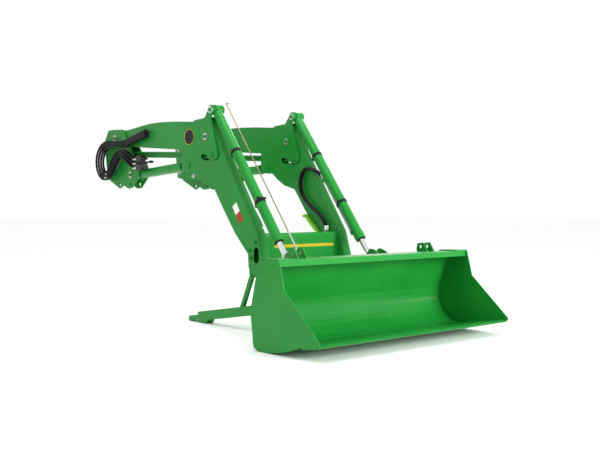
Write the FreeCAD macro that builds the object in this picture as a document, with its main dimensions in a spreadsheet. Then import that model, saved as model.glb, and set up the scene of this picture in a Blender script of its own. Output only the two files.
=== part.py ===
"""Front loader with self-levelling linkage, parking stands and a material bucket.

Frame: origin at the middle of the bucket's flat heel on the floor, -Y towards the
cutting edge, +Y towards the tractor, +Z up.  The right side is at -X, as an operator
on the tractor sees it.  Lengths are in millimetres.
"""
import FreeCAD, Part
import Sketcher
import math
import os
import re

os.makedirs("parts", exist_ok=True)
doc = FreeCAD.newDocument("front_loader")
sheet = doc.addObject("Spreadsheet::Sheet", "dims")

# Driving dimensions
SIZES = {
    # pins, seen from the side
    "mast_pin_y": 3250, "mast_pin_z": 1820,
    "crank_pin_y": 1532, "crank_pin_z": 1736,
    "bucket_pin_y": 438, "bucket_pin_z": 318,
    "lift_pin_y": 1861, "lift_pin_z": 1484,
    "barrel_pin_y": 2920, "barrel_pin_z": 1420,
    "crank_reach_y": -82, "crank_reach_z": 240,
    "link_reach_y": -89, "link_reach_z": -174,
    "stand_pin_y": 600, "stand_pin_z": 232,
    "brace_pin_y": 900, "brace_pin_z": 505,
    # arms and the plates beside them
    "arm_x": 481, "arm_wide": 90, "arm_plate": 6,
    "side_gap": 4, "strap_plate": 12,
    "eye_wide": 60, "eye_gap": 1, "eye_setback": 48,
    "pin_radius": 22, "pin_clearance": 0.05, "small_pin_radius": 18,
    "head_radius": 34, "head_thick": 10, "head_gap": 0.3,
    "lift_up": 50, "lift_down": 4, "slot_margin": 6,
    # torque tube
    "tube_front": 800, "tube_deep": 150, "tube_bottom": 612, "tube_high": 243,
    "tube_wall": 8, "tube_corner": 22,
    # tilt cylinders
    "tilt_gland": 1482, "tilt_radius": 45, "tilt_bore": 38, "tilt_rod_radius": 25,
    "tilt_piston": 1090,
    # lift cylinders
    "lift_gland": 918, "lift_radius": 46, "lift_bore": 39, "lift_rod_radius": 27,
    "lift_piston": 330,
    # levelling link
    "link_high": 60, "link_wide": 50, "link_groove": 19,
    # stands
    "stand_slope": 9, "stand_high": 87, "stand_wide": 80, "stand_wall": 6,
    "stand_long": 1115, "tail_long": 1290, "tail_high": 50, "shoe_front": 1545, "shoe_back": 1705,
    "brace_seat": 490, "brace_radius": 20,
    # bucket
    "bucket_half": 1080, "side_plate": 8, "shell_plate": 6,
    "bend_y": -122, "bend_z": 298, "bend_radius": 253,
    "floor_tilt": 8.3, "back_lean": 15.2,
    "edge_y": -657, "edge_long": 200, "edge_thick": 16,
    "lip_back_y": -12, "lip_front_y": -190, "lip_top": 697, "lip_drop": 47,
    "heel_half": 60, "heel_thick": 8,
    "carrier_back": 205, "carrier_top": 478, "carrier_low": 240, "carrier_deep": 50, "carrier_tube": 60,
    "carrier_wall": 6, "carrier_post": 14,
    "ear_inner": 690, "ear_plate": 14, "ear_gap": 86, "ear_hole": 15,
    # masts
    "column_inner": 332, "column_wall": 12,
    # plumbing
    "line_radius": 6, "hose_radius": 11, "port_at": 735, "line_across": 14, "line_off": 56,
    "level_off": 78, "level_across": 75, "level_radius": 5, "level_tube_radius": 9, "level_clamp": 1625,
    "coupler_y": 2620, "coupler_z": 1458, "coupler_wide": 56, "coupler_long": 100, "coupler_high": 150,
    "lever_long": 310,
    "badge_y": 1834, "badge_z": 1751, "badge_long": 84, "badge_high": 75,
}
for row, (alias, size) in enumerate(SIZES.items(), start=1):
    sheet.set(f"A{row}", alias)
    sheet.set(f"B{row}", str(size))
    sheet.setAlias(f"B{row}", alias)
doc.recompute()

CYCLIC = FreeCAD.Rotation(FreeCAD.Vector(1, 1, 1), 120)
FUNCTIONS = {"sin", "cos", "tan", "atan2", "sqrt", "pi", "deg", "abs"}

# Pins that follow from the two parallelograms of the levelling linkage
TOWER_Y, TOWER_Z = "(crank_pin_y + crank_reach_y)", "(crank_pin_z + crank_reach_z)"
TILT_Y, TILT_Z = "(bucket_pin_y + crank_reach_y)", "(bucket_pin_z + crank_reach_z)"
LINK_Y, LINK_Z = "(crank_pin_y + link_reach_y)", "(crank_pin_z + link_reach_z)"
MAST_LINK_Y, MAST_LINK_Z = "(mast_pin_y + link_reach_y)", "(mast_pin_z + link_reach_z)"

# Stations across the right arm
ARM_OUT = "(arm_x + arm_wide / 2)"
ARM_IN = "(arm_x - arm_wide / 2)"
STRAP_OUT = "(arm_x + arm_wide / 2 + side_gap)"
STRAP_IN = "(arm_x - arm_wide / 2 - side_gap - strap_plate)"
STRAP_END = "(arm_x + arm_wide / 2 + side_gap + strap_plate)"
EYE_HALF = "(eye_wide / 2)"


def size(alias):
    return float(sheet.get(alias))


def ex(text):
    """Spreadsheet expression: each plain word becomes a reference to its cell."""
    def refer(match):
        word = match.group(0)
        return word if word in FUNCTIONS else "dims." + word
    return re.sub(r"[A-Za-z_]\w*", refer, str(text))


def bind(thing, prop, text):
    thing.setExpression(prop, ex(text))


def place(thing, x, y, z):
    bind(thing, "Placement.Base.x", x)
    bind(thing, "Placement.Base.y", y)
    bind(thing, "Placement.Base.z", z)
    return thing


# Building helpers

def polygon(body, plane, outline, holes):
    """Closed outline of straight edges, each corner tied to the sheet, with round holes."""
    sketch = body.newObject("Sketcher::SketchObject", body.Name + "_sketch")
    origin = [f for f in body.Origin.OriginFeatures if f.Role == plane][0]
    sketch.AttachmentSupport = [(origin, "")]
    sketch.MapMode = "FlatFace"
    count = len(outline)
    for i in range(count):
        turn = 2 * math.pi * i / count
        after = 2 * math.pi * (i + 1) / count
        start = FreeCAD.Vector(900 * math.cos(turn), 900 * math.sin(turn), 0)
        end = FreeCAD.Vector(900 * math.cos(after), 900 * math.sin(after), 0)
        sketch.addGeometry(Part.LineSegment(start, end), False)
    for i in range(count):
        sketch.addConstraint(Sketcher.Constraint("Coincident", i, 2, (i + 1) % count, 1))
    for i, (across, up) in enumerate(outline):
        pin_point(sketch, i, 1, across, up)
    for across, up, radius in holes:
        circle = Part.Circle(FreeCAD.Vector(0, 0, 0), FreeCAD.Vector(0, 0, 1), 10)
        index = sketch.addGeometry(circle, False)
        pin_point(sketch, index, 3, across, up)
        rule = sketch.addConstraint(Sketcher.Constraint("Radius", index, 10.0))
        bind(sketch, f"Constraints[{rule}]", radius)
    return sketch


def pin_point(sketch, index, end, across, up):
    rule = sketch.addConstraint(Sketcher.Constraint("DistanceX", -1, 1, index, end, 10.0))
    bind(sketch, f"Constraints[{rule}]", across)
    rule = sketch.addConstraint(Sketcher.Constraint("DistanceY", -1, 1, index, end, 10.0))
    bind(sketch, f"Constraints[{rule}]", up)


def plate(name, outline, start, thick, holes=(), plane="YZ_Plane"):
    """Plate of a given outline: padded from its start station along the plane's normal."""
    body = doc.addObject("PartDesign::Body", name)
    sketch = polygon(body, plane, outline, holes)
    bind(sketch, "AttachmentOffset.Base.z", start)
    pad = body.newObject("PartDesign::Pad", name + "_pad")
    pad.Profile = sketch
    bind(pad, "Length", thick)
    body.Tip = pad
    return body


def block(name, x, y, z, long_x, long_y, long_z):
    box = doc.addObject("Part::Box", name)
    bind(box, "Length", long_x)
    bind(box, "Width", long_y)
    bind(box, "Height", long_z)
    return place(box, x, y, z)


def rod(name, start, y, z, radius, length):
    """Cylinder along +X."""
    cylinder = doc.addObject("Part::Cylinder", name)
    bind(cylinder, "Radius", radius)
    bind(cylinder, "Height", length)
    cylinder.Placement = FreeCAD.Placement(FreeCAD.Vector(), CYCLIC)
    return place(cylinder, start, y, z)


def barrel(name, start, radius, length):
    """Cylinder along +Y from a station on the Y axis, for pieces that are placed later."""
    cylinder = doc.addObject("Part::Cylinder", name)
    bind(cylinder, "Radius", radius)
    bind(cylinder, "Height", length)
    cylinder.Placement = FreeCAD.Placement(FreeCAD.Vector(), FreeCAD.Rotation(FreeCAD.Vector(1, 0, 0), -90))
    return place(cylinder, "0", start, "0")


def fuse(name, pieces):
    joined = doc.addObject("Part::MultiFuse", name)
    joined.Shapes = pieces
    return joined


def cut(name, base, tools):
    if len(tools) == 1:
        tool = tools[0]
    else:
        tool = fuse(name + "_tools", tools)
    result = doc.addObject("Part::Cut", name)
    result.Base = base
    result.Tool = tool
    return result


def turn_to(thing, x, from_y, from_z, to_y, to_z):
    """Puts a piece that was drawn along +Y on the line between two pins."""
    thing.Placement = FreeCAD.Placement(FreeCAD.Vector(), FreeCAD.Rotation(FreeCAD.Vector(1, 0, 0), 20))
    bind(thing, "Placement.Rotation.Angle", f"atan2({to_z} - {from_z}; {to_y} - {from_y})")
    return place(thing, x, from_y, from_z)


def mirrored(name, source):
    other = doc.addObject("Part::Mirroring", name)
    other.Source = source
    other.Base = (0, 0, 0)
    other.Normal = (1, 0, 0)
    return other


def span(from_y, from_z, to_y, to_z):
    return f"sqrt(({to_y} - {from_y})^2 + ({to_z} - {from_z})^2)"


def along(points, y, z):
    """Outline given as offsets from a pin."""
    return [(f"{y} + {dy}", f"{z} + {dz}") for dy, dz in points]


def pin(name, y, z, radius="pin_radius"):
    """Pin across the straps of the right arm, with a head at each end."""
    start = f"-{STRAP_END} - head_gap - head_thick"
    inner_end = f"-{STRAP_IN} + head_gap"
    shaft = rod(name + "_shaft", start, y, z, radius, f"{STRAP_END} - {STRAP_IN} + 2 * (head_gap + head_thick)")
    outer_head = rod(name + "_outer_head", start, y, z, "head_radius", "head_thick")
    inner_head = rod(name + "_inner_head", inner_end, y, z, "head_radius", "head_thick")
    return fuse(name, [shaft, outer_head, inner_head])


# Boom arms: hollow box of side plates and webs, with a nose, a knee housing and a tail

def boom_outline():
    tail = along([(0, 75), (-206, 70), (-509, 96), (-709, 110)], "mast_pin_y", "mast_pin_z")
    knee_top = along([(816, 193), (539, 179), (241, 155), (-48, 172), (-238, -136), (-379, -342)],
                     "crank_pin_y", "crank_pin_z")
    nose = along([(525, 804), (346, 547), (270, 302), (-36, 32), (36, -32), (446, 206), (467, 240),
                  (475, 361), (666, 539), (849, 760)], "bucket_pin_y", "bucket_pin_z")
    knee_back = along([(-104, -476), (53, -436)], "crank_pin_y", "crank_pin_z")
    housing = along([(-161, -119), (-77, -54), (105, -54), (105, 153)], "lift_pin_y", "lift_pin_z")
    underside = along([(-804, -146), (-401, -112), (0, -75)], "mast_pin_y", "mast_pin_z")
    return tail + knee_top + nose + knee_back + housing + underside


def band(points, offset_y, offset_z):
    """Strip of plate under a run of outline points."""
    inner = [(f"{y} + {offset_y}", f"{z} + {offset_z}") for y, z in reversed(points)]
    return points + inner


def crank_slot(name):
    """Curved slot for the link pin, swept about the crank pin over the whole lift."""
    start = f"(atan2(link_reach_z; link_reach_y) - lift_down * 1deg - 1deg)"
    reach = "sqrt(link_reach_y^2 + link_reach_z^2)"
    half = "(small_pin_radius + slot_margin)"
    face = doc.addObject("Part::Plane", name + "_face")
    bind(face, "Length", "arm_wide + 2")
    bind(face, "Width", f"2 * {half}")
    face.Placement = FreeCAD.Placement(FreeCAD.Vector(), FreeCAD.Rotation(FreeCAD.Vector(1, 0, 0), -121))
    bind(face, "Placement.Rotation.Angle", start)
    place(face, f"-{ARM_OUT} - 1", f"crank_pin_y + ({reach} - {half}) * cos({start})",
          f"crank_pin_z + ({reach} - {half}) * sin({start})")
    sweep = doc.addObject("Part::Revolution", name + "_sweep")
    sweep.Source = face
    sweep.Axis = (1, 0, 0)
    sweep.Solid = True
    bind(sweep, "Base.y", "crank_pin_y")
    bind(sweep, "Base.z", "crank_pin_z")
    bind(sweep, "Angle", "lift_up + lift_down + 2")
    ends = []
    for side, angle in (("first", start), ("last", f"({start} + (lift_up + lift_down + 2) * 1deg)")):
        y = f"crank_pin_y + {reach} * cos({angle})"
        z = f"crank_pin_z + {reach} * sin({angle})"
        ends.append(rod(name + "_" + side, f"-{ARM_OUT} - 1", y, z, half, "arm_wide + 2"))
    return [sweep] + ends


def make_boom():
    outline = boom_outline()
    outer = plate("boom_outer_plate", outline, f"-{ARM_OUT}", "arm_plate")
    inner = plate("boom_inner_plate", outline, f"-{ARM_IN} - arm_plate", "arm_plate")
    web_start = f"-{ARM_OUT} + arm_plate"
    web_wide = "arm_wide - 2 * arm_plate"
    top = plate("boom_top_web", band(outline[0:8], "0", "-arm_plate"), web_start, web_wide)
    front = plate("boom_front_web", band(outline[7:14], "arm_plate * 1.2", "-1"), web_start, web_wide)
    back = plate("boom_back_web", band(outline[15:23], "-arm_plate * 0.8", "arm_plate * 0.6"), web_start, web_wide)
    chin = plate("boom_chin_web", band(outline[14:16], "-2", "arm_plate"), web_start, web_wide)
    under = plate("boom_under_web", band(outline[26:29], "0", "arm_plate"), web_start, web_wide)
    seam = block("boom_front_link", web_start, "crank_pin_y - 100", "crank_pin_z + 80", web_wide, "arm_plate",
                 "20")
    bosses = [
        rod("boom_tail_boss", f"-{ARM_OUT}", "mast_pin_y", "mast_pin_z", "75", "arm_wide"),
        rod("boom_crank_boss", f"-{ARM_OUT}", "crank_pin_y", "crank_pin_z", "pin_radius + 18", "arm_wide"),
        rod("boom_nose_boss", f"-{ARM_OUT}", "bucket_pin_y", "bucket_pin_z", "48", "arm_wide"),
    ]
    lift_half = f"(arm_wide / 2 - {EYE_HALF} - eye_gap)"
    for side, start in (("outer", f"-{ARM_OUT} - head_thick"), ("inner", f"-{ARM_IN} - {lift_half}")):
        bosses.append(rod(f"boom_lift_boss_{side}", start, "lift_pin_y", "lift_pin_z", "head_radius",
                          f"{lift_half} + head_thick"))
    lug = plate("boom_stand_lug", along([(-75, 60), (-26, -14), (0, -30), (26, -14), (160, 150), (20, 140)],
                                        "stand_pin_y", "stand_pin_z"), "-arm_x - 25", "50")
    lug_end = rod("boom_stand_lug_end", "-arm_x - 25", "stand_pin_y", "stand_pin_z", "30", "50")
    brace_lugs = []
    for side, start in (("outer", "-arm_x - 26"), ("inner", "-arm_x + 18")):
        brace_lugs.append(plate(f"boom_brace_lug_{side}",
                                along([(-70, 60), (-22, -6), (0, -22), (22, -6), (18, 90), (-30, 60)],
                                      "brace_pin_y", "brace_pin_z"), start, "8"))
    pad = plate("boom_top_pad", along([(223, 150), (217, 166.5), (-32, 181), (-38, 165)], "crank_pin_y", "crank_pin_z"),
                f"-{ARM_OUT}", "arm_wide")
    shell = [outer, inner, top, front, back, chin, under, seam, pad, lug, lug_end]
    whole = fuse("boom_whole", shell + bosses + brace_lugs)
    through = f"-{ARM_OUT} - 20"
    holes = [
        rod("boom_tail_bore", through, "mast_pin_y", "mast_pin_z", "pin_radius + pin_clearance", "arm_wide + 40"),
        rod("boom_crank_bore", through, "crank_pin_y", "crank_pin_z", "pin_radius", "arm_wide + 40"),
        rod("boom_nose_bore", through, "bucket_pin_y", "bucket_pin_z", "pin_radius + pin_clearance", "arm_wide + 40"),
        rod("boom_stand_bore", through, "stand_pin_y", "stand_pin_z", "small_pin_radius + pin_clearance",
            "arm_wide + 40"),
        rod("boom_brace_bore", through, "brace_pin_y", "brace_pin_z", "12 + pin_clearance", "arm_wide + 40"),
        rod("boom_oval_low", through, "tube_front - 5", "tube_bottom + 26", "36", "20 + arm_plate + 2"),
        rod("boom_oval_high", through, "tube_front - 5", "tube_bottom + 92", "36", "20 + arm_plate + 2"),
        block("boom_oval_middle", through, "tube_front - 41", "tube_bottom + 26", "20 + arm_plate + 2", "72", "66"),
    ]
    return cut("boom_right", whole, holes + crank_slot("boom_slot"))


# Torque tube between the arms

def make_torque_tube():
    length = f"2 * {ARM_IN}"
    outer = block("torque_outer", f"-{ARM_IN}", "tube_front", "tube_bottom", length, "tube_deep", "tube_high")
    hollow = block("torque_hollow", f"-{ARM_IN} - 1", "tube_front + tube_wall", "tube_bottom + tube_wall",
                   f"{length} + 2", "tube_deep - 2 * tube_wall", "tube_high - 2 * tube_wall")
    doc.recompute()
    rounded = doc.addObject("Part::Fillet", "torque_rounded")
    rounded.Base = outer
    edges = []
    for number, edge in enumerate(outer.Shape.Edges, start=1):
        if abs(edge.tangentAt(edge.FirstParameter).x) > 0.99:
            edges.append((number, size("tube_corner"), size("tube_corner")))
    rounded.Edges = edges
    return cut("torque_tube", rounded, [hollow])


# Masts: two cheeks round the boom's tail, with a mounting column on the inside

def make_mast():
    outline = along([(-160, 85), (60, 96), (160, 94), (250, -30), (180, -425), (30, -490),
                     (-90, -540), (-180, -505), (-260, -540), (-350, -535), (-495, -420), (-480, -320)],
                    "mast_pin_y", "mast_pin_z")
    bore = "pin_radius"
    holes = [("mast_pin_y", "mast_pin_z", bore), (MAST_LINK_Y, MAST_LINK_Z, bore),
             ("barrel_pin_y", "barrel_pin_z", bore),
             ("mast_pin_y - 90", "mast_pin_z - 495", "20"), ("mast_pin_y - 320", "mast_pin_z - 495", "20")]
    outer = plate("mast_outer_cheek", outline, f"-{STRAP_END}", "strap_plate", holes)
    inner = plate("mast_inner_cheek", outline, f"-{STRAP_IN} - strap_plate", "strap_plate", holes)
    gap = f"{STRAP_OUT} - {STRAP_IN} - strap_plate"
    rear = plate("mast_rear_web", along([(240, -45), (250, -30), (180, -425), (170, -410)],
                                        "mast_pin_y", "mast_pin_z"), f"-{STRAP_OUT}", gap)
    foot = plate("mast_foot_web", along([(170, -410), (180, -425), (30, -490), (20, -478)],
                                        "mast_pin_y", "mast_pin_z"), f"-{STRAP_OUT}", gap)
    column = plate("mast_column", along([(20, 60), (120, 60), (200, -60), (150, -400), (-60, -440),
                                         (-300, -440), (-330, -330), (-60, -250)],
                                        "mast_pin_y", "mast_pin_z"),
                   f"-{STRAP_IN}", f"{STRAP_IN} - column_inner")
    pocket = plate("mast_column_pocket", along([(32, 48), (112, 48), (186, -62), (140, -388), (-60, -428),
                                                (-290, -428), (-316, -338), (-52, -262)],
                                               "mast_pin_y", "mast_pin_z"),
                   f"-{STRAP_IN} - 1", f"{STRAP_IN} - column_inner - column_wall + 1")
    column_holes = [pocket, rod("mast_column_bore", f"-{STRAP_IN} - 1", "mast_pin_y", "mast_pin_z", "head_radius + 6",
                        f"{STRAP_IN} - column_inner + 2"),
                    rod("mast_column_link_bore", f"-{STRAP_IN} - 1", MAST_LINK_Y, MAST_LINK_Z, "head_radius + 6",
                        f"{STRAP_IN} - column_inner + 2"),
                    rod("mast_column_barrel_bore", f"-{STRAP_IN} - 1", "barrel_pin_y", "barrel_pin_z",
                        "head_radius + 6", f"{STRAP_IN} - column_inner + 2")]
    opened = cut("mast_column_open", column, column_holes)
    spacers = []
    spacer_long = f"({STRAP_OUT} - arm_x - {EYE_HALF} - eye_gap)"
    for place_name, y, z in (("link", MAST_LINK_Y, MAST_LINK_Z), ("barrel", "barrel_pin_y", "barrel_pin_z")):
        for side, start in (("outer", f"-{STRAP_OUT}"), ("inner", f"-arm_x + {EYE_HALF} + eye_gap")):
            spacers.append(rod(f"mast_{place_name}_spacer_{side}", start, y, z, "head_radius", spacer_long))
    solid = fuse("mast_solid", [outer, inner, rear, foot, opened] + spacers)
    bores = [rod("mast_link_bore", f"-{STRAP_END} - 1", MAST_LINK_Y, MAST_LINK_Z, bore, "200"),
             rod("mast_barrel_bore", f"-{STRAP_END} - 1", "barrel_pin_y", "barrel_pin_z", bore, "200")]
    return cut("mast_right", solid, bores)


# Levelling link between mast and bellcrank: grooved bar with an eye at each end

def make_link():
    length = span(MAST_LINK_Y, MAST_LINK_Z, LINK_Y, LINK_Z)
    bar = block("link_bar", "-link_wide / 2", "0", "-link_high / 2", "link_wide", length, "link_high")
    eyes = [rod("link_mast_eye", f"-{EYE_HALF}", "0", "0", "link_high / 2 + 8", "eye_wide"),
            rod("link_crank_eye", f"-{EYE_HALF}", length, "0", "link_high / 2 + 8", "eye_wide")]
    whole = fuse("link_whole", [bar] + eyes)
    grooves = []
    for side, start in (("outer", "-link_wide / 2 - 1"), ("inner", "link_wide / 2 - link_groove")):
        grooves.append(block(f"link_groove_{side}", start, "90", "-link_high / 4", "link_groove + 1",
                             f"{length} - 180", "link_high / 2"))
    bores = [rod("link_mast_bore", "-50", "0", "0", "pin_radius + pin_clearance", "100"),
             rod("link_crank_bore", "-50", length, "0", "small_pin_radius + pin_clearance", "100")]
    return turn_to(cut("link_right", whole, grooves + bores), "-arm_x", MAST_LINK_Y, MAST_LINK_Z, LINK_Y, LINK_Z)


# Bellcrank: two plates that straddle the arm, tied by the link pin

def make_bellcrank():
    tower = along([(38, 12), (20, 36), (-20, 36), (-42, 4), (-34, -28), (8, -66)], TOWER_Y, TOWER_Z)
    outline = tower + along([(-113, 52), (-176, -133), (-183, -187), (-157, -211), (-112, -219), (-32, -204),
                             (28, -96), (68, 0), (58, 94), (40, 156)], "crank_pin_y", "crank_pin_z")
    clear = "pin_radius + pin_clearance"
    pieces = []
    for side, start in (("outer", f"-{STRAP_END}"), ("inner", f"-{STRAP_IN} - strap_plate")):
        holes = [("crank_pin_y", "crank_pin_z", clear), (TOWER_Y, TOWER_Z, "pin_radius")]
        plain = plate(f"crank_plate_{side}", outline, start, "strap_plate", holes[:1])
        boss = rod(f"crank_boss_{side}", start, TOWER_Y, TOWER_Z, "tilt_radius", "strap_plate")
        pieces += [plain, boss]
    spacer_long = f"({STRAP_OUT} - arm_x - {EYE_HALF} - eye_gap)"
    for side, start in (("outer", f"-{STRAP_OUT}"), ("inner", f"-arm_x + {EYE_HALF} + eye_gap")):
        pieces.append(rod(f"crank_spacer_{side}", start, TOWER_Y, TOWER_Z, "head_radius + 4", spacer_long))
    start = f"-{STRAP_END} - head_thick"
    pieces.append(rod("crank_link_pin", start, LINK_Y, LINK_Z, "small_pin_radius",
                      f"{STRAP_END} - {STRAP_IN} + 2 * head_thick"))
    for side, begin in (("outer", start), ("inner", f"-{STRAP_IN}")):
        pieces.append(rod(f"crank_link_head_{side}", begin, LINK_Y, LINK_Z, "small_pin_radius + 9", "head_thick"))
    bore = rod("crank_tower_bore", f"-{STRAP_END} - 1", TOWER_Y, TOWER_Z, "pin_radius", "200")
    return cut("bellcrank_right", fuse("crank_whole", pieces), [bore])


# Tilt cylinders in front of the arms, from the bellcrank to the bucket carrier

def make_tilt_barrel():
    tube = barrel("tilt_tube", "tilt_radius - 3", "tilt_radius", "tilt_gland - tilt_radius + 3")
    eye = rod("tilt_eye", f"-{EYE_HALF}", "0", "0", "tilt_radius + 2", "eye_wide")
    gland = barrel("tilt_gland_ring", "tilt_gland - 50", "tilt_radius + 4", "60")
    ports = [block("tilt_port_high", "-24", "port_at", "tilt_radius - 14", "48", "40", "42"),
             block("tilt_port_low", "line_across - 14", "tilt_gland - 110", "tilt_radius - 24", "28", "36", "36")]
    straps = [barrel("tilt_strap_high", "490", "tilt_radius + 4", "26"),
              barrel("tilt_strap_low", "1060", "tilt_radius + 4", "26")]
    whole = fuse("tilt_barrel_whole", [tube, eye, gland] + ports + straps)
    hollow = barrel("tilt_hollow", "80", "tilt_bore", "tilt_gland - 130")
    throat = barrel("tilt_throat", "tilt_gland - 70", "tilt_rod_radius + pin_clearance", "100")
    bore = rod("tilt_eye_bore", "-50", "0", "0", "pin_radius + pin_clearance", "100")
    shell = cut("tilt_barrel_right", whole, [hollow, throat, bore])
    return turn_to(shell, "-arm_x", TOWER_Y, TOWER_Z, TILT_Y, TILT_Z)


def make_tilt_rod():
    length = span(TOWER_Y, TOWER_Z, TILT_Y, TILT_Z)
    shaft = barrel("tilt_shaft", "tilt_piston", "tilt_rod_radius", f"{length} - tilt_piston - 20")
    piston = barrel("tilt_piston_head", "tilt_piston", "tilt_bore - pin_clearance", "50")
    eye = rod("tilt_rod_eye", f"-{EYE_HALF}", length, "0", "40", "eye_wide")
    whole = fuse("tilt_rod_right", [shaft, piston, eye])
    return turn_to(whole, "-arm_x", TOWER_Y, TOWER_Z, TILT_Y, TILT_Z)


# Lift cylinders from the mast to the knee housing

def make_lift_barrel():
    tube = barrel("lift_tube", "eye_setback", "lift_radius", "lift_gland - eye_setback")
    eye = rod("lift_eye", f"-{EYE_HALF}", "0", "0", "eye_setback + 4", "eye_wide")
    gland = barrel("lift_gland_ring", "lift_gland - 50", "lift_radius + 3", "50")
    port = block("lift_port", "-16", "95", "lift_radius - 10", "32", "40", "28")
    whole = fuse("lift_barrel_whole", [tube, eye, gland, port])
    hollow = barrel("lift_hollow", "75", "lift_bore", "lift_gland - 135")
    throat = barrel("lift_throat", "lift_gland - 70", "lift_rod_radius + pin_clearance", "100")
    bore = rod("lift_eye_bore", "-50", "0", "0", "pin_radius + pin_clearance", "100")
    shell = cut("lift_barrel_right", whole, [hollow, throat, bore])
    return turn_to(shell, "-arm_x", "barrel_pin_y", "barrel_pin_z", "lift_pin_y", "lift_pin_z")


def make_lift_rod():
    length = span("barrel_pin_y", "barrel_pin_z", "lift_pin_y", "lift_pin_z")
    shaft = barrel("lift_shaft", "lift_piston", "lift_rod_radius", f"{length} - lift_piston - 20")
    piston = barrel("lift_piston_head", "lift_piston", "lift_bore - pin_clearance", "50")
    eye = rod("lift_rod_eye", f"-{EYE_HALF}", length, "0", "38", "eye_wide")
    whole = fuse("lift_rod_right", [shaft, piston, eye])
    return turn_to(whole, "-arm_x", "barrel_pin_y", "barrel_pin_z", "lift_pin_y", "lift_pin_z")


# Parking stands: channels that swing down from the boom noses, each with a brace

def make_stand():
    half = "stand_wide / 2"
    channel = block("stand_channel", f"-{half}", "-45", "-stand_high / 2", "stand_wide", "stand_long + 45",
                    "stand_high")
    hollow = block("stand_hollow", f"-{half} + stand_wall", "-46", "-stand_high / 2 + stand_wall",
                   "stand_wide - 2 * stand_wall", "stand_long + 47", "stand_high")
    nose = block("stand_nose_cut", f"-{half} - 1", "-46", "-stand_high", "stand_wide + 2", "24", "stand_high")
    opened = cut("stand_open", channel, [hollow, nose])
    tail = block("stand_tail", f"-{half} + stand_wall", "stand_long - 260", "-tail_high / 2 - 8",
                 "stand_wide - 2 * stand_wall", "tail_long - stand_long + 235", "tail_high")
    tail_end = rod("stand_tail_end", f"-{half} + stand_wall", "tail_long - 25", "-8", "tail_high / 2",
                   "stand_wide - 2 * stand_wall")
    tail_hollow = block("stand_tail_hollow", f"-{half} + 2 * stand_wall", "stand_long - 261",
                        "-tail_high / 2 - 8 + stand_wall", "stand_wide - 4 * stand_wall",
                        "tail_long - stand_long + 216", "tail_high")
    extension = cut("stand_extension", fuse("stand_tail_whole", [tail, tail_end]), [tail_hollow])
    pivot = rod("stand_pivot", f"-{half} - 8", "0", "0", "small_pin_radius", "stand_wide + 16")
    beam = fuse("stand_beam", [opened, extension, pivot])
    beam.Placement = FreeCAD.Placement(FreeCAD.Vector(), FreeCAD.Rotation(FreeCAD.Vector(1, 0, 0), -9))
    bind(beam, "Placement.Rotation.Angle", "-stand_slope * 1deg")
    place(beam, "-arm_x", "stand_pin_y", "stand_pin_z")
    drop = "(stand_pin_z - tan(stand_slope * 1deg) * (shoe_front - stand_pin_y) - stand_high / 2 + 16)"
    drop_back = "(stand_pin_z - tan(stand_slope * 1deg) * (shoe_back - stand_pin_y) - stand_high / 2 + 16)"
    shoe = plate("stand_shoe", [("shoe_front", drop), ("shoe_front + 12", "14"), ("shoe_front + 34", "0"),
                                ("shoe_back - 26", "0"), ("shoe_back - 4", "6"), ("shoe_back", drop_back)],
                 f"-arm_x - {half}", "stand_wide")
    return fuse("stand_right", [beam, shoe])


def make_brace():
    seat_y = ("(stand_pin_y + brace_seat * cos(stand_slope * 1deg)"
              " - (stand_high / 2 - stand_wall - brace_radius - head_gap) * sin(stand_slope * 1deg))")
    seat_z = ("(stand_pin_z - brace_seat * sin(stand_slope * 1deg)"
              " - (stand_high / 2 - stand_wall - brace_radius - head_gap) * cos(stand_slope * 1deg))")
    length = span("brace_pin_y", "brace_pin_z", seat_y, seat_z)
    bar = block("brace_bar", "-16", "0", "-brace_radius", "32", length, "2 * brace_radius")
    top = rod("brace_top", "-16", "0", "0", "brace_radius", "32")
    foot = rod("brace_foot", "-24", length, "0", "brace_radius", "48")
    pivot = rod("brace_pivot", "-30", "0", "0", "12", "60")
    hollow = block("brace_hollow", "-11", "40", "-brace_radius + 5", "22", f"{length} - 80",
                   "2 * brace_radius")
    whole = fuse("brace_whole", [bar, top, foot, pivot])
    return turn_to(cut("brace_right", whole, [hollow]), "-arm_x", "brace_pin_y", "brace_pin_z", seat_y, seat_z)


# Bucket: rolled shell, side plates, lip and the hook ears behind the lip

def shell_points(offset):
    """Corners of the shell where floor and back meet the bend, at an offset from its outside."""
    radius = f"(bend_radius - {offset})"
    floor = (f"(bend_y - {radius} * sin(floor_tilt * 1deg))", f"(bend_z - {radius} * cos(floor_tilt * 1deg))")
    back = (f"(bend_y + {radius} * cos(back_lean * 1deg))", f"(bend_z + {radius} * sin(back_lean * 1deg))")
    return floor, back


def under(y):
    """Height of the floor's underside at a station."""
    floor, _ = shell_points("0")
    return f"({floor[1]} + ({floor[0]} - ({y})) * tan(floor_tilt * 1deg))"


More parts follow.
